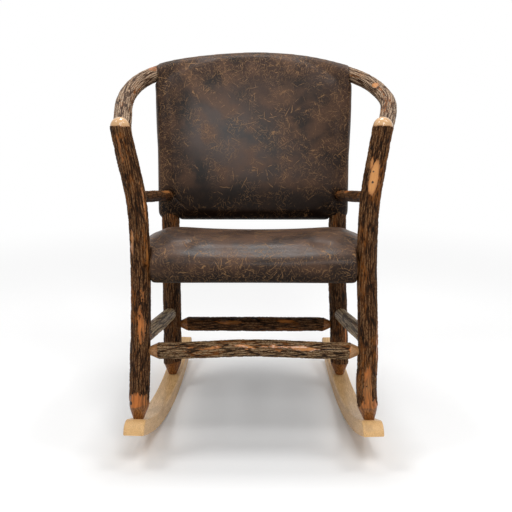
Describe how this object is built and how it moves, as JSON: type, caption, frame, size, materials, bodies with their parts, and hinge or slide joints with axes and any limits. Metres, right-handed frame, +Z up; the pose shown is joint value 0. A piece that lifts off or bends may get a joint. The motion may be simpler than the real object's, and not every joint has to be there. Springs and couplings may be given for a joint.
{
  "type": "hickory rocking chair",
  "caption": "Rustic rocking chair of bark-covered poles with a bent hoop for arms and top rail, leather seat and back, and pale curved rockers.",
  "frame": {"origin": "on the floor, halfway between the rockers' noses and the hoop's rear, and midway between the hoop's two widest points", "axes": "+Z up, +Y to the back of the chair, so the sitter faces -Y, and +X to the right as seen from the front"},
  "size_m": [0.7042, 0.7618, 0.9229],
  "materials": {
    "bark_pole": "hickory bark, rough, lacquered, peeled orange-tan in patches",
    "peeled_pole": "debarked hickory, hidden under the upholstery",
    "rocker_wood": "pale maple-like hardwood, satin lacquer",
    "leather": "distressed dark brown leather with tan wear, soft sheen",
    "foam": "upholstery foam with wadding, hidden",
    "webbing": "jute webbing",
    "dust_cloth": "black cambric",
    "nail_steel": "dull steel"
  },
  "bodies": {
    "root": {"front_post_left": "bark_pole", "front_post_right": "bark_pole", "back_post_left": "bark_pole", "back_post_right": "bark_pole", "arm_hoop": "bark_pole", "arm_rail_left": "bark_pole", "arm_rail_right": "bark_pole", "side_stretcher_left": "bark_pole", "side_stretcher_right": "bark_pole", "front_stretcher": "bark_pole", "back_stretcher": "bark_pole", "seat_rail_front": "peeled_pole", "seat_rail_back": "peeled_pole", "seat_rail_left": "peeled_pole", "seat_rail_right": "peeled_pole", "back_rail": "peeled_pole", "rocker_left": "rocker_wood", "rocker_right": "rocker_wood", "seat_cover": "leather", "back_cover": "leather", "back_panel": "leather", "seat_foam": "foam", "back_foam": "foam", "seat_webbing": "webbing", "seat_dust_cover": "dust_cloth", "joint_nails": "nail_steel", "rocker_screws": "nail_steel", "upholstery_tacks": "nail_steel"}
  },
  "joints": []
}
